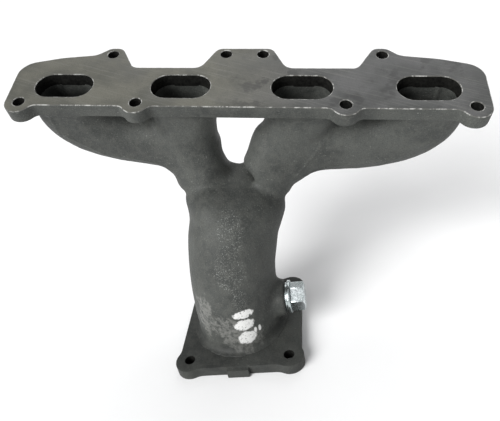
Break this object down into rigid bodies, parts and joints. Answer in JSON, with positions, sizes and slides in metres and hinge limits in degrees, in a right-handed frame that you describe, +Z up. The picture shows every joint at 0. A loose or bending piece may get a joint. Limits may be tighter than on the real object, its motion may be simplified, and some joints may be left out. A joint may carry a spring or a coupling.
{
  "type": "exhaust manifold",
  "caption": "Cast-iron exhaust manifold: oval ports on a long head flange, runners merging into a round collector on a square turbo flange, hex plug in its side.",
  "frame": {"origin": "centre of the turbo flange's stud pattern, on its gasket face", "axes": "+Z up the collector, +X along the row of ports towards the side with the plug, -Y the side that the cylinder-head face leans to"},
  "size_m": [0.3513, 0.1295, 0.2612],
  "materials": {
    "cast_iron": "rough sand-cast grey iron",
    "machined_flange": "milled face on grey iron, dulled",
    "zinc_plate": "bright zinc plate with a blue-green tint"
  },
  "bodies": {
    "root": {"head_flange": "machined_flange", "turbo_flange": "cast_iron", "collector": "cast_iron", "merge_chamber": "cast_iron", "runner_1": "cast_iron", "runner_2": "cast_iron", "runner_3": "cast_iron", "runner_4": "cast_iron", "sealing_ring": "zinc_plate", "plug_washer": "zinc_plate", "plug_bolt": "zinc_plate"}
  },
  "joints": []
}
